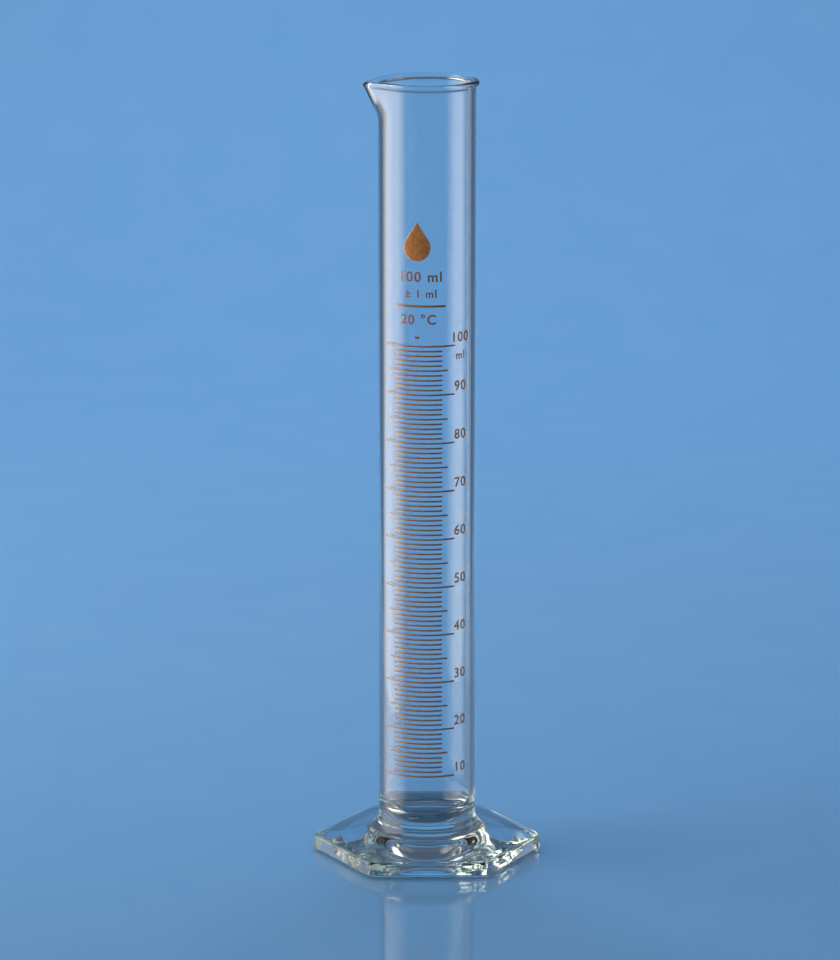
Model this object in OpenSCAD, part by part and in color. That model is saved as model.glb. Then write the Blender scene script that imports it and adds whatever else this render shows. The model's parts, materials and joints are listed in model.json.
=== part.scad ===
// Tall glass measuring cylinder with a pouring lip and a hexagonal foot.
// Millimetres, +Z up. The origin is the centre of the foot's underside, the lip points along -X,
// the scale faces -Y, and two corners of the foot lie on the X axis.

/* [Tube] */
// Height of the rim above the table
total_h = 256; // [245:1:280]
// Diameter of the bore, which sets the spacing of the scale
bore_d = 28.3; // [27.5:0.1:30]
// Thickness of the tube's wall
wall = 1.7; // [1.3:0.1:2.2]
// Height of the lowest point of the bore above the table
floor_z = 11; // [10:0.5:14]
// Radius of the rounded corner round the bottom of the bore
floor_corner_r = 9; // [4:0.5:12]

/* [Rim and lip] */
// How far the rim bead stands out from the tube
bead_proud = 0.9; // [0.4:0.1:1.4]
// Height of the rim bead
bead_h = 2.4; // [1.8:0.1:4]
// How far the lip reaches out beyond the tube
lip_reach = 5; // [3:0.5:7]
// Height over which the tube wall opens out into the lip
lip_h = 13; // [10:0.5:18]
// Radius of the lip's tip, seen from above
lip_tip_r = 4; // [3:0.5:5]
// How far the tip of the lip dips below the rim
lip_dip = 1; // [0.5:0.1:1.5]

/* [Foot] */
// Size of the hexagon from corner to opposite corner, before its corners are rounded
foot_across = 76; // [70:1:86]
// Radius of the hexagon's corners, seen from above
foot_corner_r = 4; // [2:0.5:6]
// Height of the foot's edge
foot_edge_h = 5; // [3:0.25:5.5]
// Bevel along the upper and lower edges of the foot
foot_bevel = 0.8; // [0.4:0.1:1.2]
// Height of the plane where the tube is fused to the foot
seam_z = 7.5; // [6.5:0.25:9]
// Radius of the hollow curve where the tube flares out to the foot
flare_r = 6; // [5:0.25:7]
// Diameter of the shallow hollow under the foot
hollow_d = 54; // [44:1:56]
// Depth of the hollow under the foot
hollow_h = 1.2; // [0.6:0.1:2]

/* [Scale] */
// Volume at the top line, in millilitres
capacity_ml = 100; // [50:10:100]
// Angle from the front of the cylinder to the middle of the scale, towards the lip
scale_turn = 12; // [0:1:30]
// Angle that a ten millilitre line covers round the tube
ten_ml_arc = 92; // [80:1:200]
// Angle that a five millilitre line covers
five_ml_arc = 74; // [66:1:78]
// Angle that a one millilitre line covers
one_ml_arc = 60; // [40:1:64]
// Width of each line
line_w = 0.55; // [0.2:0.05:0.6]
// Thickness of the fired enamel
enamel_t = 0.1; // [0.05:0.05:0.2]
// Height of the drop mark above the scale
drop_h = 12.5; // [6:0.5:14]
// Gap from the top line to the middle of the drop mark
drop_gap = 34; // [28:1:40]

/* [Hidden] */
$fn = 96;

bore_r = bore_d / 2;
tube_r = bore_r + wall;

// A bore with a rounded bottom holds a little less than one with a square bottom. The scale is
// counted from the height at which a square bottom would hold the same.
spandrel_area = (1 - PI / 4) * floor_corner_r ^ 2;
spandrel_offset = floor_corner_r * (10 - 3 * PI) / (12 - 3 * PI);
lost_volume = spandrel_area * 2 * PI * (bore_r - spandrel_offset);
bore_area = PI * bore_r ^ 2;
zero_z = floor_z + lost_volume / bore_area;
ml_h = 1000 / bore_area;
function level_z(ml) = zero_z + ml * ml_h;

// The flare turns through this angle, and so it runs out along a foot that slopes by 12 degrees.
flare_turn = 78;
flare_top_z = seam_z + flare_r * sin(flare_turn);
flare_end_r = tube_r + flare_r * (1 - cos(flare_turn));

// Points of a quarter or smaller arc, from angle a to angle b.
function arc(cx, cz, r, a, b, steps = 10) = [
    for (i = [0 : steps])
        let (t = a + (b - a) * i / steps)
        [cx + r * cos(t), cz + r * sin(t)]
];

lip_base_z = total_h - lip_h;
lip_tip_x = -(tube_r + lip_reach - lip_tip_r);
front = 270 - scale_turn;

// The sides of the mouth are upright in a narrow band below the rim.
band_h = 0.6;
band_z = total_h - band_h;
// Height of a disc that only gives hull() an outline.
slice_h = 0.2;
// How far a cutting shape passes the surface that it cuts.
overrun = 1;
// The widest part of the bead, as fractions of its height from its lower edge.
bead_widest = [0.3, 0.7];
// The lower edge of the bead stands this far out, so that it crosses the tube cleanly.
bead_step = 0.05;
// The hollow under the foot is narrower at its roof than at the table by this much.
hollow_taper = 2;
// Radius of the drop's belly, as a fraction of its height, and radius of its point.
drop_belly = 0.35;
drop_point_r = 0.25;

// A disc of the tube's section joined by hull() to one at the lip's tip.
module disc(z, h, r, x = 0) {
    translate([x, 0, z])
        cylinder(h = h, r = r);
}

// The outside of the opened mouth, with the tube at its lower end and the lip at its top.
module mouth_outside() {
    hull() {
        disc(lip_base_z, lip_h, tube_r);
        disc(band_z, band_h, lip_tip_r, lip_tip_x);
    }
}

module mouth_inside() {
    base_z = lip_base_z + wall / 2;
    hull() {
        disc(base_z, total_h + overrun - base_z, bore_r);
        disc(band_z, band_h + overrun, lip_tip_r - wall, lip_tip_x);
    }
}

// The bead runs round the rim and fades into the lip.
module rim_bead() {
    bead_r = tube_r + bead_proud;
    bead_z = total_h - bead_h;
    widest_h = bead_h * (bead_widest[1] - bead_widest[0]);
    hull() {
        disc(bead_z, slice_h, tube_r + bead_step);
        disc(bead_z + bead_h * bead_widest[0], widest_h, bead_r);
        disc(total_h - slice_h, slice_h, bead_r - bead_proud / 2);
        disc(band_z, band_h, lip_tip_r, lip_tip_x);
    }
}

// Trims the top of the lip to a slope, so that its tip is the lowest point of the rim.
module lip_trim() {
    slope = atan(lip_dip / (lip_reach + wall));
    translate([-bore_r, -tube_r, total_h])
        rotate([0, -slope, 0])
            translate([-2 * lip_reach - wall, 0, 0])
                cube([2 * lip_reach + wall, 2 * tube_r, lip_h]);
}

// Half section of the closed tube, from the seam up into the rim.
module tube_section() {
    polygon(concat(
        [[0, seam_z], [flare_end_r, seam_z]],
        arc(tube_r + flare_r, flare_top_z, flare_r, 180 + flare_turn, 180),
        [[tube_r, band_z - slice_h], [bore_r, band_z - slice_h]],
        arc(bore_r - floor_corner_r, floor_z + floor_corner_r, floor_corner_r, 0, -90),
        [[0, floor_z]]
    ));
}

module glass_tube() {
    color([0.74, 0.85, 0.95, 0.5])
    difference() {
        union() {
            rotate_extrude()
                tube_section();
            difference() {
                union() {
                    mouth_outside();
                    rim_bead();
                }
                translate([0, 0, lip_base_z - overrun])
                    cylinder(h = lip_h + 2 * overrun, r = bore_r);
            }
        }
        mouth_inside();
        lip_trim();
    }
}

// Hexagon with rounded corners. Its sides lie along those of a sharp hexagon of radius r.
module hexagon(r) {
    offset(r = foot_corner_r)
        circle(r = r - foot_corner_r * 2 / sqrt(3), $fn = 6);
}

module hexagonal_foot() {
    full_r = foot_across / 2;
    inset_r = full_r - foot_bevel;
    color([0.70, 0.80, 0.90, 0.5])
    difference() {
        hull() {
            linear_extrude(height = foot_bevel, scale = full_r / inset_r)
                hexagon(inset_r);
            translate([0, 0, foot_edge_h - foot_bevel])
                linear_extrude(height = foot_bevel, scale = inset_r / full_r)
                    hexagon(full_r);
            cylinder(h = seam_z, r = flare_end_r);
        }
        translate([0, 0, -overrun])
            cylinder(
                h = overrun + hollow_h,
                d1 = hollow_d + hollow_taper * overrun / hollow_h,
                d2 = hollow_d - hollow_taper
            );
    }
}

// One line of enamel on the tube: an arc centred on the scale.
module line(z, angle) {
    translate([0, 0, z - line_w / 2])
        rotate([0, 0, front - angle / 2])
            rotate_extrude(angle = angle)
                translate([tube_r, 0])
                    square([enamel_t, line_w]);
}

module ten_ml_lines() {
    color([0.55, 0.33, 0.14])
    for (ml = [10 : 10 : capacity_ml])
        line(level_z(ml), ten_ml_arc);
}

module five_ml_lines() {
    color([0.55, 0.33, 0.14])
    for (ml = [15 : 10 : capacity_ml])
        line(level_z(ml), five_ml_arc);
}

// Every whole millilitre from the ten line up that isn't a multiple of five.
module one_ml_lines() {
    color([0.55, 0.33, 0.14])
    for (ml = [10 : capacity_ml])
        if (ml % 5 != 0)
            line(level_z(ml), one_ml_arc);
}

// Outline of a falling drop, centred on the origin, with its point up.
module drop_outline() {
    belly_r = drop_h * drop_belly;
    hull() {
        translate([0, belly_r - drop_h / 2])
            circle(r = belly_r, $fn = 48);
        translate([0, drop_h / 2 - drop_point_r])
            circle(r = drop_point_r, $fn = 16);
    }
}

module drop_mark() {
    color([0.62, 0.36, 0.12])
    translate([0, 0, level_z(capacity_ml) + drop_gap])
        intersection() {
            rotate([0, 0, front + 90])
                rotate([90, 0, 0])
                    linear_extrude(height = 2 * tube_r)
                        drop_outline();
            translate([0, 0, -drop_h])
                difference() {
                    cylinder(h = 2 * drop_h, r = tube_r + enamel_t);
                    translate([0, 0, -overrun])
                        cylinder(h = 2 * (drop_h + overrun), r = tube_r);
                }
        }
}

glass_tube();
hexagonal_foot();
ten_ml_lines();
five_ml_lines();
one_ml_lines();
drop_mark();
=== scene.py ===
"""A tall glass measuring cylinder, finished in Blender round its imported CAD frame. Metres, +Z up."""

import json
import math

import bmesh
import bpy
import numpy as np
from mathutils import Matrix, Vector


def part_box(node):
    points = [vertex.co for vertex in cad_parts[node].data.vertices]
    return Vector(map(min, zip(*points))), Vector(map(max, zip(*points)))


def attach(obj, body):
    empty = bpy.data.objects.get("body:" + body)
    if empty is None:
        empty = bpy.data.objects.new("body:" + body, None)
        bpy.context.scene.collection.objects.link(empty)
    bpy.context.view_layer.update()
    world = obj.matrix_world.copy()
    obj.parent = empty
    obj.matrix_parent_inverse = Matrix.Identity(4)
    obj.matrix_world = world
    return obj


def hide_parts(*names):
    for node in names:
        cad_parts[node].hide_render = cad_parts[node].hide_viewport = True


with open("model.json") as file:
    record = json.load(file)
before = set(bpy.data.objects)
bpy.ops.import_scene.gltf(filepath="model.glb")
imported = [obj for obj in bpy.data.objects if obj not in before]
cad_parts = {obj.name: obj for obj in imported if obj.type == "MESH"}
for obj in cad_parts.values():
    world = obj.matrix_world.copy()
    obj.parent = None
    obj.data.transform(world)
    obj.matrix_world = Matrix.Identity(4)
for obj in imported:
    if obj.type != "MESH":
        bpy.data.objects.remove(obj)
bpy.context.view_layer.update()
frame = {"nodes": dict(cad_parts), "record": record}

MM = 0.001

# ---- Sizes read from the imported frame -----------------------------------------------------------


def nearest_and_farthest(node):
    """The smallest and largest distance of a CAD node's corners from the tube's axis."""
    corners = frame["nodes"][node].data.vertices
    distances = [math.hypot(v.co.x, v.co.y) for v in corners]
    return min(distances), max(distances)


tube_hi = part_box("glass_tube")[1]
foot_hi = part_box("hexagonal_foot")[1]
ten_lo, ten_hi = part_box("ten_ml_lines")
drop_lo, drop_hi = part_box("drop_mark")
mounts = {m["name"]: m for m in frame["record"]["mounts"]}

RIM_Z = tube_hi.z
SEAM_Z = foot_hi.z
FLARE_END_R = tube_hi.y
BORE_R = mounts["measuring_bore"]["dims"]["r_mm"] * MM
TUBE_R = nearest_and_farthest("one_ml_lines")[0]
WALL = TUBE_R - BORE_R
FOOT_FLAT = foot_hi.y
FOOT_TIP = foot_hi.x
FOOT_CORNER_R = (FOOT_FLAT * 2 / math.sqrt(3) - FOOT_TIP) / (2 / math.sqrt(3) - 1)

# ---- Sizes that the frame doesn't state, as in the CAD source -----------------------------------

FLOOR_Z = 11 * MM
FLOOR_CORNER_R = 9 * MM
FLARE_R = 6 * MM
FLARE_TURN = math.radians(78)
BEAD_PROUD = 0.9 * MM
BEAD_H = 2.4 * MM
LIP_H = 13 * MM
LIP_REACH = 5 * MM
LIP_TIP_R = 4 * MM
LIP_DIP = 1 * MM
LIP_BASE_Z = RIM_Z - LIP_H
FOOT_EDGE_H = 5 * MM
HOLLOW_R = 27 * MM
HOLLOW_H = 1.2 * MM
LINE_W = 0.55 * MM
DROP_BELLY = 0.35

# The scale: its middle is turned from the front towards the lip.
SCALE_TURN = math.radians(12)
FRONT = math.radians(270) - SCALE_TURN
LOW_LINE_Z = ten_lo.z + LINE_W / 2
TEN_ML_H = (ten_hi.z - ten_lo.z - LINE_W) / 9
HALF_ARC = {"ten": math.radians(46), "five": math.radians(37), "one": math.radians(30)}
TOP_ML = 100
TEN_ML = range(10, TOP_ML + 1, 10)
FIVE_ML = range(15, TOP_ML, 10)
ONE_ML = [ml for ml in range(10, TOP_ML + 1) if ml % 5]


def level_z(ml):
    """Height of the scale at a volume in millilitres."""
    return LOW_LINE_Z + (ml / 10 - 1) * TEN_ML_H


# ---- Finer shapes, which the CAD model leaves plain ---------------------------------------------

# The hollow under the foot is a dome that falls away from its middle as this power of the radius.
DOME_POWER = 2.5
# The foot's upright edge leans in by this much.
EDGE_LEAN = 0.25 * MM
# How far the rounding of an edge of the foot reaches to either side: the hollow's edge, and the
# lower and the upper edge of the hexagon.
HEEL_ROUND = 0.3 * MM
LOWER_ROUND = 0.9 * MM
UPPER_ROUND = 1.1 * MM
# The top of the foot bulges over a straight slope. Halfway it is higher by a quarter of this
# part of the slope's height.
SLOPE_CROWN = 0.22
# Rings this far outside a rounded corner keep the flats beside it flat.
CORNER_MARGIN = 0.25 * MM
# The rim's rounded top is this high, and a power below 1 makes it squarer than an ellipse.
CROWN_H = 1.2 * MM
CROWN_POWER = 0.8
# How gradually the wall starts to open into the lip, and how much of the bead is gone there.
LIP_SOFTNESS = 0.14
BEAD_LOSS = 0.8
# The straight part of the tube's outside starts here.
STRAIGHT_Z = 16 * MM

# ---- Meshes -------------------------------------------------------------------------------------


def new_piece(name, mesh, slot, *replaced):
    """Links a mesh as a piece of the object, riding on its one body."""
    piece = bpy.data.objects.new(name, mesh)
    bpy.context.collection.objects.link(piece)
    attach(piece, "root")
    if replaced:
        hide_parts(*replaced)
    return piece


def mesh_from(name, vertices, faces):
    """A smooth-shaded mesh with its faces turned outwards."""
    mesh = bpy.data.meshes.new(name)
    mesh.from_pydata([tuple(v) for v in vertices], [], faces)
    tidy = bmesh.new()
    tidy.from_mesh(mesh)
    bmesh.ops.recalc_face_normals(tidy, faces=tidy.faces)
    for face in tidy.faces:
        face.smooth = True
    tidy.to_mesh(mesh)
    tidy.free()
    return mesh


# A sixth of a turn, from one corner of the foot to the next, and how many angles the rounding
# of a corner and a side are divided by, with their ends.
SIXTH = math.radians(60)
CORNER_ANGLES = 13
SIDE_ANGLES = 41


def corner_tangent(flat, corner_r):
    """Angle from a hexagon's corner to the place where its rounding meets its side."""
    centre = (flat - corner_r) * 2 / math.sqrt(3)
    across = corner_r * math.sin(SIXTH / 2)
    return math.atan2(across, centre + corner_r * math.cos(SIXTH / 2))


def sector_angles():
    """Angles round the axis, the same in each sixth of a turn, closest at the foot's corners."""
    tangent = corner_tangent(FOOT_FLAT, FOOT_CORNER_R)
    corner = np.linspace(-tangent, tangent, CORNER_ANGLES)
    side = np.linspace(tangent, SIXTH - tangent, SIDE_ANGLES)[1:-1]
    one = np.concatenate([corner, side])
    return np.concatenate([one + k * SIXTH for k in range(6)])


TURN = sector_angles()
# The angle between each of these and the lip.
FROM_LIP = np.abs((TURN % (2 * math.pi)) - math.pi)


def hexagon(flat, corner_r):
    """Distance from the axis to a hexagon with rounded corners, at each angle."""
    from_corner = np.abs((TURN + SIXTH / 2) % SIXTH - SIXTH / 2)
    centre = (flat - corner_r) * 2 / math.sqrt(3)
    side = flat / np.cos(SIXTH / 2 - from_corner)
    inside = np.maximum(corner_r**2 - (centre * np.sin(from_corner)) ** 2, 0)
    corner = centre * np.cos(from_corner) + np.sqrt(inside)
    return np.where(from_corner < corner_tangent(flat, corner_r), corner, side)


def lip_outline(round_r, tip_r):
    """Distance from the axis to a circle joined by its tangents to the lip's tip circle."""
    reach = TUBE_R + LIP_REACH - LIP_TIP_R
    tangent = math.acos((round_r - tip_r) / reach)
    tip_end = math.atan2(tip_r * math.sin(tangent), reach + tip_r * math.cos(tangent))
    line = round_r / np.cos(np.minimum(FROM_LIP, tangent) - tangent)
    inside = np.maximum(tip_r**2 - (reach * np.sin(FROM_LIP)) ** 2, 0)
    tip = reach * np.cos(FROM_LIP) + np.sqrt(inside)
    return np.where(FROM_LIP < tip_end, tip, line)


LIP_OUTSIDE = lip_outline(TUBE_R, LIP_TIP_R)
LIP_INSIDE = lip_outline(BORE_R, LIP_TIP_R - WALL)
# 0 round the plain rim and 1 at the tip of the lip.
LIPNESS = (LIP_OUTSIDE - TUBE_R) / LIP_REACH


def opening(z):
    """How far the mouth has opened into the lip: 0 at its base and 1 at the rim."""
    t = np.clip((z - LIP_BASE_Z) / LIP_H, 0, 1)
    soft = LIP_SOFTNESS
    return (np.sqrt(t * t + soft * soft) - soft) / (math.sqrt(1 + soft * soft) - soft)


class Profile:
    """Rings that are stacked from the middle of the underside, up and over, to the bore's floor."""

    def __init__(self):
        self.rings = []

    def ring(self, r, z):
        """Adds a ring. Either number may be an array with one value for each angle of TURN."""
        self.rings.append((np.broadcast_to(r, TURN.shape), np.broadcast_to(z, TURN.shape)))

    def corner(self, before, at, after, cut, steps=6):
        """Rounds the corner at `at`, with a ring a little outside each end to hold the flats."""
        points = []
        for other in (before, after):
            dr, dz = other[0] - at[0], other[1] - at[1]
            length = np.sqrt(dr * dr + dz * dz)
            points.append((dr / length, dz / length))
        (ar, az), (br, bz) = points
        hold = cut + CORNER_MARGIN
        self.ring(at[0] + ar * hold, at[1] + az * hold)
        for t in np.linspace(0, 1, steps + 1):
            away, near = (1 - t) ** 2 * cut, t**2 * cut
            self.ring(at[0] + ar * away + br * near, at[1] + az * away + bz * near)
        self.ring(at[0] + br * hold, at[1] + bz * hold)

    def mesh(self, name):
        """Joins the rings with quads and closes both ends with a fan of triangles."""
        count = len(TURN)
        vertices = [
            (r * math.cos(a), r * math.sin(a), z)
            for ring_r, ring_z in self.rings
            for a, r, z in zip(TURN, ring_r, ring_z)
        ]
        faces = [
            (
                row * count + k,
                row * count + (k + 1) % count,
                (row + 1) * count + (k + 1) % count,
                (row + 1) * count + k,
            )
            for row in range(len(self.rings) - 1)
            for k in range(count)
        ]
        for row, step in ((0, 1), (len(self.rings) - 1, -1)):
            z = self.rings[row][1][0]
            vertices.append((0, 0, z))
            pole = len(vertices) - 1
            for k in range(count):
                faces.append((row * count + (k + 1) % count, row * count + k, pole)[::step])
        return mesh_from(name, vertices, faces)


def hollow_point(t):
    """A point of the hollow under the foot, from its middle at 0 to its heel at 1."""
    return HOLLOW_R * t, HOLLOW_H * (1 - t**DOME_POWER)


def foot_rings(profile):
    """The underside's hollow, the hexagon's edge and the slope up to the flare."""
    edge = hexagon(FOOT_FLAT, FOOT_CORNER_R)
    heel = (HOLLOW_R, 0 * MM)
    lower = (edge, 0 * MM)
    upper = (edge - EDGE_LEAN, FOOT_EDGE_H)
    seam = (FLARE_END_R, SEAM_Z)
    for t in np.linspace(0.04, 0.96, 20):
        profile.ring(*hollow_point(t))
    profile.corner(hollow_point(0.97), heel, lower, HEEL_ROUND, steps=4)
    profile.corner(heel, lower, upper, LOWER_ROUND)
    profile.corner(lower, upper, seam, UPPER_ROUND)
    for t in (0.35, 0.55, 0.75):
        r = upper[0] + (seam[0] - upper[0]) * t
        z = upper[1] + (seam[1] - upper[1]) * (t + SLOPE_CROWN * t * (1 - t))
        profile.ring(r, z)


def flare_rings(profile):
    """The hollow curve from the foot's slope into the tube. It starts a little above the seam."""
    flare_top_z = SEAM_Z + FLARE_R * math.sin(FLARE_TURN)
    for angle in np.linspace(FLARE_TURN * 0.93, 0, 14):
        r = TUBE_R + FLARE_R * (1 - math.cos(angle))
        profile.ring(r, flare_top_z - FLARE_R * math.sin(angle))


def outside_rings(profile):
    """The tube's wall from the flare to the crown of the bead."""
    for z in np.linspace(STRAIGHT_Z, LIP_BASE_Z, 24):
        profile.ring(TUBE_R, z)
    bead_z = RIM_Z - BEAD_H
    for z in np.linspace(LIP_BASE_Z, bead_z, 13)[1:]:
        profile.ring(*mouth_ring(z))
    for t in np.linspace(0, 1, 9)[1:]:
        z = bead_z + (BEAD_H - CROWN_H) * t
        profile.ring(*mouth_ring(z, 0.5 - 0.5 * math.cos(math.pi * t)))


def mouth_ring(z, bead=0.0):
    """A ring of the outside at a height, with the bead and the lip's dip."""
    r = TUBE_R + opening(z) * (LIP_OUTSIDE - TUBE_R)
    # The bead has faded halfway to the lip's tip.
    r = r + bead * BEAD_PROUD * (1 - BEAD_LOSS * np.minimum(LIPNESS * 2, 1))
    return r, z - LIP_DIP * LIPNESS * opening(z)


def inner_ring(z):
    """A ring of the inside of the mouth at a height."""
    open_now = opening(z - WALL / 2)
    return BORE_R + open_now * (LIP_INSIDE - BORE_R), z - LIP_DIP * LIPNESS * opening(z)


def rim_and_bore_rings(profile):
    """Over the crown of the rim, down the bore and round its floor."""
    crown_z = RIM_Z - CROWN_H
    out_r, out_z = mouth_ring(crown_z, 1.0)
    in_r = inner_ring(crown_z)[0]
    middle, half = (out_r + in_r) / 2, (out_r - in_r) / 2
    for angle in np.linspace(0, math.pi, 17)[1:-1]:
        across = math.copysign(abs(math.cos(angle)) ** CROWN_POWER, math.cos(angle))
        up = math.sin(angle) ** CROWN_POWER
        profile.ring(middle + half * across, out_z + CROWN_H * up)
    for z in np.linspace(crown_z, LIP_BASE_Z, 14):
        profile.ring(*inner_ring(z))
    corner_z = FLOOR_Z + FLOOR_CORNER_R
    below_lip, above_corner = 6 * MM, 1 * MM
    for z in np.linspace(LIP_BASE_Z - below_lip, corner_z + above_corner, 22):
        profile.ring(BORE_R, z)
    for angle in np.linspace(0, math.pi / 2, 17):
        r = BORE_R - FLOOR_CORNER_R * (1 - math.cos(angle))
        profile.ring(r, corner_z - FLOOR_CORNER_R * math.sin(angle))
    profile.ring((BORE_R - FLOOR_CORNER_R) * 0.6, FLOOR_Z)
    profile.ring(1 * MM, FLOOR_Z)


def glass_body():
    """The tube and the foot, which are fused into one piece of glass."""
    profile = Profile()
    foot_rings(profile)
    flare_rings(profile)
    outside_rings(profile)
    rim_and_bore_rings(profile)
    mesh = profile.mesh("glass_body")
    return new_piece("glass_body", mesh, "clear_glass", "glass_tube", "hexagonal_foot")


# ---- Enamel -------------------------------------------------------------------------------------

# The enamel reaches from just inside the glass to a little above it.
SUNK = 0.03 * MM
PROUD = 0.07 * MM
# Enamel is cut across this often, so that its flat faces follow the tube.
PRINT_STEP = 0.4 * MM
# The rounded end of a stroke starts at this angle, so that it isn't a point, and has so many steps.
STROKE_TIP = 0.2
STROKE_STEPS = 6
# The section of a stroke: part of its width from its middle, and part of PROUD.
RIDGE = ((-0.5, 0.3), (-0.3, 0.85), (0, 1), (0.3, 0.85), (0.5, 0.3))

# Letters are spaced out by this factor and their outlines moved outwards by this distance.
LETTER_SPACING = 1.15
LETTER_BOLD = 0.08 * MM
LETTER_CURVE_STEPS = 6
# Points of the font's outlines that are nearer than this are one point.
SAME_POINT = 0.02 * MM
# The scale's numbers: size, height over their lines, and angle from the tube's front.
NUMERAL_SIZE = 4.5 * MM
NUMERAL_UP = 1.1 * MM
NUMERAL_TURN = math.radians(42)
# The unit under the highest number.
UNIT_SIZE = 3.6 * MM
UNIT_DOWN = 4.6 * MM
# Text, size, distance right of the scale's middle and height above its top line, in millimetres.
INSCRIPTION = (
    ("100 ml", 4.6, 1.0, 21.1),
    ("± 1 ml", 3.5, 1.2, 16.0),
    ("20 °C", 4.4, 0.4, 7.3),
)
# Distance right, height above the top line, length and width, in millimetres.
BARS = ((1.2, 13.1, 16.5, 0.7), (0.0, 2.9, 1.6, 0.8))


def on_tube(across, z, height):
    """A point of enamel: a distance across the printed area from its middle, and a height."""
    angle = FRONT + across / TUBE_R
    r = TUBE_R + height
    return r * math.cos(angle), r * math.sin(angle), z


def strokes(name, places, *replaced):
    """Low ridges of enamel with rounded ends. Each has its two ends, its height and its width."""
    section = [(-0.5, -SUNK)] + [(w, h * PROUD) for w, h in RIDGE] + [(0.5, -SUNK)]
    size = len(section)
    opening_turns = np.linspace(STROKE_TIP, math.pi / 2, STROKE_STEPS)
    closing_turns = np.linspace(math.pi / 2, STROKE_TIP, STROKE_STEPS)
    vertices, faces = [], []
    for low, high, z, width in places:
        start = len(vertices)
        cap = width / 2
        stations = [low + cap * (1 - math.cos(a)) for a in opening_turns]
        count = max(2, math.ceil((high - low - 2 * cap) / PRINT_STEP))
        stations += list(np.linspace(low + cap, high - cap, count + 1)[1:-1])
        stations += [high - cap * (1 - math.cos(a)) for a in closing_turns]
        for across in stations:
            into = min(cap, across - low, high - across) / cap
            taper = math.sqrt(1 - (1 - into) ** 2)
            for w, h in section:
                vertices.append(on_tube(across, z + w * width * taper, h))
        for k in range(len(stations) - 1):
            for j in range(size):
                a, b = start + k * size + j, start + k * size + (j + 1) % size
                faces.append((a, b, b + size, a + size))
        last = start + (len(stations) - 1) * size
        faces.append(tuple(range(start, start + size)))
        faces.append(tuple(reversed(range(last, last + size))))
    return new_piece(name, mesh_from(name, vertices, faces), "amber_enamel", *replaced)


def line_marks(name, volumes, half_arc, replaced):
    """Lines of the scale at a list of volumes."""
    half = half_arc * TUBE_R
    return strokes(name, [(-half, half, level_z(ml), LINE_W) for ml in volumes], replaced)


def flat_words(text, size):
    """Text as flat faces, centred on the origin and standing on the X axis."""
    curve = bpy.data.curves.new(text, "FONT")
    curve.body = text
    curve.size = size
    curve.space_character = LETTER_SPACING
    curve.align_x = "CENTER"
    curve.align_y = "BOTTOM_BASELINE"
    curve.resolution_u = LETTER_CURVE_STEPS
    holder = bpy.data.objects.new(text, curve)
    bpy.context.collection.objects.link(holder)
    graph = bpy.context.evaluated_depsgraph_get()
    mesh = bpy.data.meshes.new_from_object(holder.evaluated_get(graph))
    bpy.data.objects.remove(holder)
    bpy.data.curves.remove(curve)
    flat = bmesh.new()
    flat.from_mesh(mesh)
    bpy.data.meshes.remove(mesh)
    bmesh.ops.remove_doubles(flat, verts=flat.verts, dist=SAME_POINT)
    return flat


def fill_again(flat):
    """Fills the outlines of flat letters with even triangles."""
    inner = [edge for edge in flat.edges if not edge.is_boundary]
    bmesh.ops.delete(flat, geom=flat.faces[:], context="FACES_ONLY")
    bmesh.ops.delete(flat, geom=inner, context="EDGES")
    bmesh.ops.triangle_fill(flat, edges=flat.edges[:], use_beauty=True, normal=(0, 0, 1))


def embolden(flat, by):
    """Moves the outlines of flat letters outwards by a distance, or less where a face would fold."""
    outward = {}
    for edge in flat.edges:
        if edge.is_boundary:
            loop = edge.link_loops[0]
            along = loop.link_loop_next.vert.co - loop.vert.co
            for v in edge.verts:
                outward.setdefault(v, []).append(along.cross((0, 0, 1)).normalized())
    moves = {}
    # Keeps a sharp corner from moving far.
    least_divisor = 0.9
    for v, (one, other) in outward.items():
        moves[v] = (one + other) * by / max(1 + one.dot(other), least_divisor)
    starts = {v: v.co.copy() for v in moves}
    for _ in range(8):
        for v, move in moves.items():
            v.co = starts[v] + move
        flat.normal_update()
        folded = [face for face in flat.faces if face.normal.z < 0.5]
        for v in {v for face in folded for v in face.verts if v in moves}:
            moves[v] = moves[v] / 2


def printed(name, words):
    """Printed figures as thin enamel. Each word has its text, size, place across and height."""
    joined = bmesh.new()
    for text, size, across, z in words:
        letters = flat_words(text, size)
        fill_again(letters)
        embolden(letters, LETTER_BOLD)
        low = min(v.co.x for v in letters.verts)
        high = max(v.co.x for v in letters.verts)
        for x in np.arange(low, high, PRINT_STEP)[1:]:
            everything = letters.verts[:] + letters.edges[:] + letters.faces[:]
            bmesh.ops.bisect_plane(
                letters, geom=everything, dist=0.001 * MM, plane_co=(x, 0, 0), plane_no=(1, 0, 0)
            )
        made = bmesh.ops.extrude_face_region(letters, geom=letters.faces[:], use_keep_orig=True)
        top = {part for part in made["geom"] if isinstance(part, bmesh.types.BMVert)}
        for v in letters.verts:
            v.co = on_tube(across + v.co.x, z + v.co.y, PROUD if v in top else -SUNK)
        mesh = bpy.data.meshes.new(name)
        letters.to_mesh(mesh)
        letters.free()
        joined.from_mesh(mesh)
        bpy.data.meshes.remove(mesh)
    bmesh.ops.recalc_face_normals(joined, faces=joined.faces)
    mesh = bpy.data.meshes.new(name)
    joined.to_mesh(mesh)
    joined.free()
    return new_piece(name, mesh, "amber_enamel")


def scale_numerals():
    """The numbers at the right-hand end of the ten millilitre lines, each standing on its line."""
    across = (NUMERAL_TURN + SCALE_TURN) * TUBE_R
    words = []
    for ml in TEN_ML:
        words.append((str(ml), NUMERAL_SIZE, across, level_z(ml) + NUMERAL_UP))
    words.append(("ml", UNIT_SIZE, across, level_z(TOP_ML) - UNIT_DOWN))
    return printed("scale_numerals", words)


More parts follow.
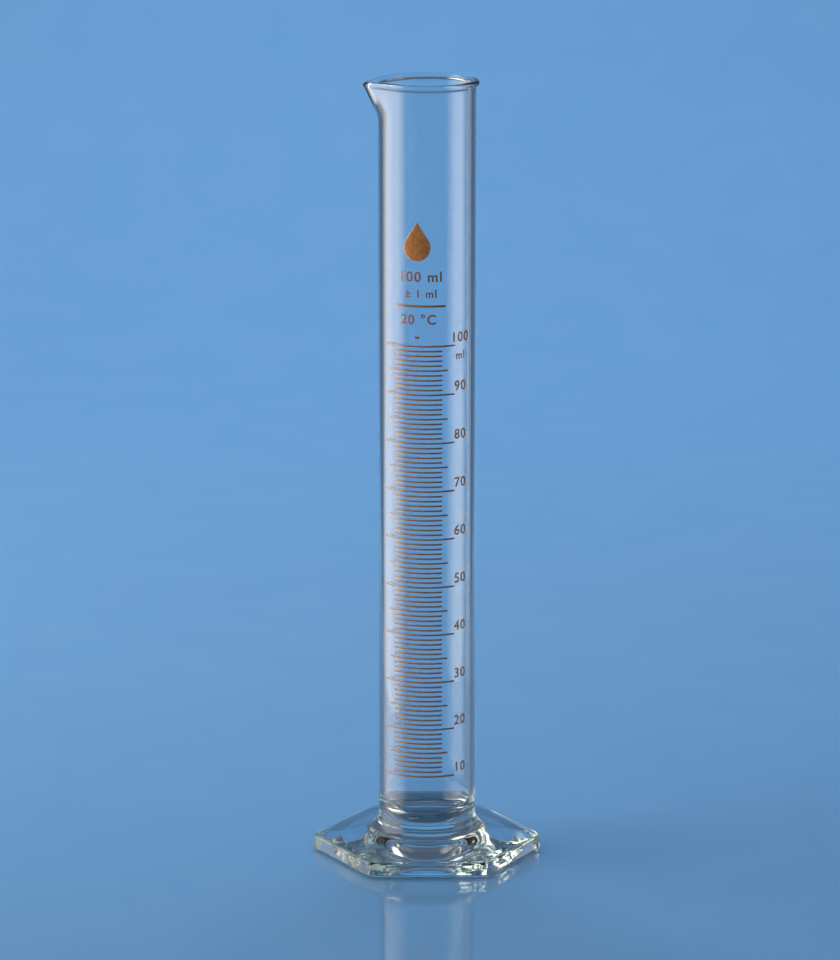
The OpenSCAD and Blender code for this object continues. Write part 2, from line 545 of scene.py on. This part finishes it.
def inscription():
    """The capacity, its tolerance and the temperature, over the scale."""
    top = level_z(TOP_ML)
    words = []
    for text, size, across, up in INSCRIPTION:
        words.append((text, size * MM, across * MM, top + up * MM))
    return printed("inscription", words)


def plain_bars():
    """Plain bars in place of the words round the temperature."""
    top = level_z(TOP_ML)
    places = []
    for across, up, w, thick in BARS:
        low, high = (across - w / 2) * MM, (across + w / 2) * MM
        places.append((low, high, top + up * MM, thick * MM))
    return strokes("plain_bars", places)


def drop_mark():
    """The drop above the scale: a low dome of enamel with a pointed top."""
    middle_z = (drop_lo.z + drop_hi.z) / 2
    height = drop_hi.z - drop_lo.z
    belly_r = height * DROP_BELLY
    belly_z = belly_r - height / 2
    tip_z = height / 2
    reach = tip_z - belly_z
    tangent = math.acos(belly_r / reach)
    outline = []
    for angle in np.linspace(math.pi / 2 + tangent, math.pi * 2.5 - tangent, 49):
        outline.append((belly_r * math.cos(angle), belly_z + belly_r * math.sin(angle)))
    start, end = outline[0], outline[-1]
    for t in np.linspace(0, 1, 13)[1:]:
        outline.append((end[0] * (1 - t), end[1] * (1 - t) + tip_z * t))
    for t in np.linspace(0, 1, 13)[1:-1]:
        outline.append((start[0] * t, tip_z * (1 - t) + start[1] * t))
    count = len(outline)
    vertices, faces = [], []
    # Rows are copies of the outline, each at a scale and a height: the underside from its middle
    # out, the rounded edge, and the top back to its middle.
    inner_scales = (0.2, 0.4, 0.6, 0.8)
    rows = [(scale, -SUNK) for scale in inner_scales]
    rows += [(1.0, -SUNK), (1.0, 0.3 * PROUD), (0.97, 0.85 * PROUD), (0.93, PROUD)]
    rows += [(scale, PROUD) for scale in reversed(inner_scales)]
    for scale, lift in rows:
        for x, z in outline:
            vertices.append(on_tube(x * scale, middle_z + belly_z + (z - belly_z) * scale, lift))
    for row in range(len(rows) - 1):
        for k in range(count):
            a, b = row * count + k, row * count + (k + 1) % count
            faces.append((a, b, b + count, a + count))
    for row, lift in ((0, -SUNK), (len(rows) - 1, PROUD)):
        vertices.append(on_tube(0, middle_z + belly_z, lift))
        pole = len(vertices) - 1
        for k in range(count):
            faces.append((row * count + k, row * count + (k + 1) % count, pole))
    mesh = mesh_from("drop_mark_print", vertices, faces)
    return new_piece("drop_mark_print", mesh, "amber_enamel", "drop_mark")


# ---- Materials ----------------------------------------------------------------------------------

# Each pair is where the enamel is thin and where it is dense.
AMBER = (0.56, 0.23, 0.05), (0.40, 0.15, 0.03)
ORANGE = (0.86, 0.35, 0.04), (0.62, 0.20, 0.02)
# Each pair is two close colours that the surface wanders between.
GLASS = (0.95, 0.98, 0.985), (0.93, 0.965, 0.975)
PAPER = (0.175, 0.42, 0.765), (0.185, 0.43, 0.775)
# The colour that light takes in thick glass, and how fast.
GLASS_DEPTH = (0.15, 0.73, 0.63, 1)
GLASS_DENSITY = 4
# The strong mirror that the paper is to light which comes by way of the glass.
MIRROR_IOR = 8


class Nodes:
    """A short way to write a node material."""

    def __init__(self, name):
        self.material = bpy.data.materials.new(name)
        self.material.use_nodes = True
        self.tree = self.material.node_tree
        self.shader = self.tree.nodes["Principled BSDF"]
        self.output = self.tree.nodes["Material Output"]
        self.place = self.tree.nodes.new("ShaderNodeTexCoord").outputs["Object"]

    def node(self, kind, inputs=None, **settings):
        """A new node: its inputs take numbers, colours or other nodes' outputs."""
        made = self.tree.nodes.new("ShaderNode" + kind)
        for key, value in settings.items():
            setattr(made, key, value)
        for key, value in (inputs or {}).items():
            self.set(made.inputs[key], value)
        return made

    def set(self, socket, value):
        if isinstance(value, bpy.types.NodeSocket):
            self.tree.links.new(value, socket)
        else:
            socket.default_value = value

    def shade(self, **values):
        """Sets inputs of the surface's shader, with _ for each space in their names."""
        for key, value in values.items():
            self.set(self.shader.inputs[key.replace("_", " ")], value)

    def noise(self, scale, stretch=(1, 1, 1), detail=4.0):
        """Noise whose pattern is stretched by unequal scales along X, Y and Z."""
        spread = self.node("Mapping", {"Vector": self.place, "Scale": stretch})
        made = self.node(
            "TexNoise",
            {"Vector": spread.outputs["Vector"], "Scale": scale, "Detail": detail},
        )
        return made.outputs["Fac"]

    def between(self, value, low, high, from_low=0.35, from_high=0.65):
        """A value mapped from one range, by default noise's middle, to the range low to high."""
        made = self.node(
            "MapRange",
            {
                "Value": value,
                "From Min": from_low,
                "From Max": from_high,
                "To Min": low,
                "To Max": high,
            },
        )
        return made.outputs["Result"]

    def product(self, one, other):
        return self.node("Math", {0: one, 1: other}, operation="MULTIPLY").outputs[0]

    def colours(self, value, low, high):
        """A blend of two colours by a value from 0 to 1."""
        made = self.node("Mix", {0: value, 6: (*low, 1), 7: (*high, 1)}, data_type="RGBA")
        return made.outputs[2]

    def bump(self, height, distance, strength=1.0):
        made = self.node("Bump", {"Height": height, "Distance": distance, "Strength": strength})
        return made.outputs["Normal"]


def clear_glass():
    """Borosilicate glass: faint drawing lines down the tube and traces of handling."""
    n = Nodes("clear_glass")
    drawn = n.noise(scale=260, stretch=(1, 1, 0.006), detail=2.0)
    handled = n.noise(scale=45, detail=6.0)
    n.shade(
        Base_Color=n.colours(n.between(handled, 0, 1), *GLASS),
        Roughness=n.between(handled, 0.0, 0.03, from_low=0.5, from_high=0.7),
        IOR=1.473,
        Transmission_Weight=1.0,
        Normal=n.bump(drawn, distance=0.02 * MM, strength=0.3),
    )
    # A faint green that shows only where the glass is thick.
    depth = n.node("VolumeAbsorption", {"Color": GLASS_DEPTH, "Density": GLASS_DENSITY})
    n.tree.links.new(depth.outputs["Volume"], n.output.inputs["Volume"])
    return n.material


def enamel(name, thin, dense):
    """Fired enamel, denser in some places than in others, with a fine grain."""
    n = Nodes(name)
    patchy = n.noise(scale=900, detail=5.0)
    grain = n.noise(scale=9000, detail=2.0)
    n.shade(
        Base_Color=n.colours(n.between(patchy, 0, 1), thin, dense),
        Roughness=n.between(grain, 0.35, 0.5),
        Coat_Weight=1.0,
        Coat_Roughness=0.06,
        Coat_IOR=1.7,
        Normal=n.bump(grain, distance=0.01 * MM, strength=0.6),
    )
    return n.material


def studio_paper():
    """Pale blue paper under and behind the cylinder, polished near it as a table is.

    Seen from the glass at a grazing angle it is a good mirror, so that the lamps' reflections run
    down the tube to its foot. The camera sees only a soft sheen.
    """
    n = Nodes("studio_paper")
    fibres = n.noise(scale=30, detail=5.0)
    # Metres behind the cylinder.
    away = n.node("SeparateXYZ", {"Vector": n.place}).outputs["Y"]
    near = n.between(away, 1, 0, from_low=0.15, from_high=0.35)
    facing = n.node("LayerWeight", {"Blend": 0.5}).outputs["Facing"]
    grazing = n.between(facing, 0, 1, from_low=0.5, from_high=0.7)
    camera_ray = n.node("LightPath").outputs["Is Camera Ray"]
    indirect = n.between(camera_ray, 1, 0, from_low=0, from_high=1)
    mirror = n.product(n.product(near, grazing), indirect)
    # The sheen is gone before the paper turns rough.
    sheen = n.between(away, 1.5, 1.02, from_low=0.05, from_high=0.3)
    n.shade(
        Base_Color=n.colours(n.between(fibres, 0, 1), *PAPER),
        Roughness=n.between(away, 0.04, 0.6, from_low=0.3, from_high=0.6),
        IOR=n.between(mirror, sheen, MIRROR_IOR, from_low=0, from_high=1),
    )
    return n.material


# ---- Studio -------------------------------------------------------------------------------------

# Half the paper's width under the object, and how much that grows for each metre behind it.
PAPER_HALF_W = 0.19
PAPER_SPREAD = 0.11
PAPER_FRONT_Y = -0.75
PAPER_BEND_Y = 0.75
PAPER_BEND_R = 0.45
PAPER_TOP_Z = 0.6
# A hair of air under the foot, so that its underside reflects as glass on a table does.
PAPER_Z = -0.3 * MM
# A row of points this far in front of the bend keeps the floor's shading flat.
PAPER_FLAT_END = 0.02

# Slightly warm, so that reflections of the lamps stand out against the blue paper.
LAMP_COLOUR = (1.0, 0.87, 0.74, 1)
# The height of the middle of each card, and how much of its height fades at either end.
CARD_Z = 0.20
CARD_END_FADE = 0.15
TOP_LIGHT_AT = (0, 0.95, 1.25)
TOP_LIGHT_TILT = math.radians(-18)
TOP_LIGHT_SIZE = (1.3, 0.7)
TOP_LIGHT_WATTS = 11
# The room's light from below and from above, and the directions between which it changes.
ROOM_BELOW = (0.07, 0.13, 0.22, 1)
ROOM_ABOVE = (0.09, 0.11, 0.16, 1)
ROOM_CHANGE = (-0.05, 0.25)

# The camera stands where the photographer's did; a longer lens fills the frame with the object.
CAMERA_AT = (-2.3 * MM, -1.549, 0.479)
CAMERA_DOWN = math.radians(12.88)
CAMERA_LENS = 61.1 * 3.0
CAMERA_SENSOR = 36


def studio_rig(camera):
    """An empty that turns with the camera, so that the paper and lights stay round its view."""
    rig = bpy.data.objects.new("studio_rig", None)
    bpy.context.collection.objects.link(rig)
    follow = rig.constraints.new("LOCKED_TRACK")
    follow.target = camera
    follow.track_axis = "TRACK_NEGATIVE_Y"
    follow.lock_axis = "LOCK_Z"
    return rig


def paper_sweep(rig):
    """The floor, curved up at the back into a backdrop."""
    path = [(PAPER_FRONT_Y, 0), (0, 0), (PAPER_BEND_Y - PAPER_FLAT_END, 0)]
    for angle in np.linspace(0, math.pi / 2, 25):
        bend_y = PAPER_BEND_Y + PAPER_BEND_R * math.sin(angle)
        path.append((bend_y, PAPER_BEND_R * (1 - math.cos(angle))))
    path.append((PAPER_BEND_Y + PAPER_BEND_R, PAPER_TOP_Z))
    vertices = [
        (side * (PAPER_HALF_W + PAPER_SPREAD * y), y, z) for y, z in path for side in (-1, 1)
    ]
    faces = [(2 * k, 2 * k + 1, 2 * k + 3, 2 * k + 2) for k in range(len(path) - 1)]
    mesh = bpy.data.meshes.new("paper_sweep")
    mesh.from_pydata(vertices, [], faces)
    for polygon in mesh.polygons:
        polygon.use_smooth = True
    mesh.materials.append(studio_paper())
    sweep = bpy.data.objects.new("paper_sweep", mesh)
    bpy.context.collection.objects.link(sweep)
    sweep.location.z = PAPER_Z
    sweep.parent = rig


def soft_edge(n, across, fade):
    """1 over the middle of a card and 0 at both its edges, which fade over part of its width."""
    centred = n.node("Math", {0: across, 1: 0.5}, operation="SUBTRACT").outputs[0]
    out = n.node("Math", {0: centred}, operation="ABSOLUTE").outputs[0]
    return n.node(
        "MapRange",
        {"Value": out, "From Min": 0.5, "From Max": 0.5 - fade, "To Min": 0, "To Max": 1},
        interpolation_type="SMOOTHSTEP",
    ).outputs["Result"]


def softbox(rig, name, turn, distance, size, strength, fade):
    """A soft upright light card that faces the object's axis.

    It stands at a distance in metres and at a turn in degrees from the camera's side, to the
    right where the turn is positive.
    """
    width, height = size
    mesh = bpy.data.meshes.new(name)
    corners = [(x * width / 2, 0, y * height / 2) for x, y in ((-1, -1), (1, -1), (1, 1), (-1, 1))]
    mesh.from_pydata(corners, [], [(0, 1, 2, 3)])
    card = bpy.data.objects.new(name, mesh)
    bpy.context.collection.objects.link(card)
    angle = math.radians(turn)
    card.location = (distance * math.sin(angle), -distance * math.cos(angle), CARD_Z)
    card.rotation_euler = (0, 0, angle)
    card.visible_camera = False
    card.parent = rig
    n = Nodes(name)
    generated = n.node("TexCoord").outputs["Generated"]
    split = n.node("SeparateXYZ", {"Vector": generated})
    sides = soft_edge(n, split.outputs["X"], fade)
    ends = soft_edge(n, split.outputs["Z"], CARD_END_FADE)
    power = n.product(n.product(sides, ends), strength)
    emission = n.node("Emission", {"Color": LAMP_COLOUR, "Strength": power})
    n.tree.links.new(emission.outputs["Emission"], n.output.inputs["Surface"])
    mesh.materials.append(n.material)


def top_light(rig):
    """A lamp over the backdrop. The glass doesn't show it, by reflection or through itself."""
    light = bpy.data.lights.new("top_light", "AREA")
    light.shape = "RECTANGLE"
    light.size, light.size_y = TOP_LIGHT_SIZE
    light.energy = TOP_LIGHT_WATTS
    lamp = bpy.data.objects.new("top_light", light)
    bpy.context.collection.objects.link(lamp)
    lamp.location = TOP_LIGHT_AT
    lamp.rotation_euler = (TOP_LIGHT_TILT, 0, 0)
    lamp.visible_camera = False
    lamp.visible_transmission = False
    lamp.visible_glossy = False
    lamp.parent = rig


def room():
    """Dim light from all round, of one colour below the table's level and another above it."""
    world = bpy.data.worlds.new("room")
    world.use_nodes = True
    tree = world.node_tree
    place = tree.nodes.new("ShaderNodeTexCoord").outputs["Generated"]
    split = tree.nodes.new("ShaderNodeSeparateXYZ")
    tree.links.new(place, split.inputs["Vector"])
    up = tree.nodes.new("ShaderNodeMapRange")
    tree.links.new(split.outputs["Z"], up.inputs["Value"])
    up.inputs["From Min"].default_value, up.inputs["From Max"].default_value = ROOM_CHANGE
    mix = tree.nodes.new("ShaderNodeMix")
    mix.data_type = "RGBA"
    mix.inputs[6].default_value = ROOM_BELOW
    mix.inputs[7].default_value = ROOM_ABOVE
    tree.links.new(up.outputs["Result"], mix.inputs[0])
    tree.links.new(mix.outputs[2], tree.nodes["Background"].inputs["Color"])
    bpy.context.scene.world = world


def studio(camera):
    """Paper and lights round the view, a dim room, and how far light is followed."""
    rig = studio_rig(camera)
    paper_sweep(rig)
    softbox(
        rig, "left_softbox", turn=-92, distance=0.75, size=(1.45, 1.6), strength=3.3, fade=0.42
    )
    softbox(
        rig, "right_softbox", turn=80, distance=0.80, size=(0.62, 1.6), strength=0.65, fade=0.25
    )
    softbox(rig, "right_strip", turn=121, distance=0.80, size=(0.2, 1.6), strength=0.8, fade=0.3)
    top_light(rig)
    room()
    scene = bpy.context.scene
    scene.view_settings.view_transform = "Standard"
    # The thick foot reflects light many times inside before letting it out.
    scene.cycles.max_bounces = 48
    scene.cycles.transmission_bounces = 48
    scene.cycles.glossy_bounces = 24


def photographers_camera():
    camera_data = bpy.data.cameras.new("camera")
    camera_data.lens = CAMERA_LENS
    camera_data.sensor_width = CAMERA_SENSOR
    camera = bpy.data.objects.new("camera", camera_data)
    bpy.context.collection.objects.link(camera)
    camera.location = CAMERA_AT
    camera.rotation_euler = (math.pi / 2 - CAMERA_DOWN, 0, 0)
    bpy.context.scene.camera = camera
    return camera


# ---- The cylinder -------------------------------------------------------------------------------

glass_body().data.materials.append(clear_glass())
amber = enamel("amber_enamel", *AMBER)
prints = [
    line_marks("ten_ml_marks", TEN_ML, HALF_ARC["ten"], "ten_ml_lines"),
    line_marks("five_ml_marks", FIVE_ML, HALF_ARC["five"], "five_ml_lines"),
    line_marks("one_ml_marks", ONE_ML, HALF_ARC["one"], "one_ml_lines"),
    scale_numerals(),
    inscription(),
    plain_bars(),
]
for piece in prints:
    piece.data.materials.append(amber)
drop_mark().data.materials.append(enamel("drop_enamel", *ORANGE))

studio(photographers_camera())
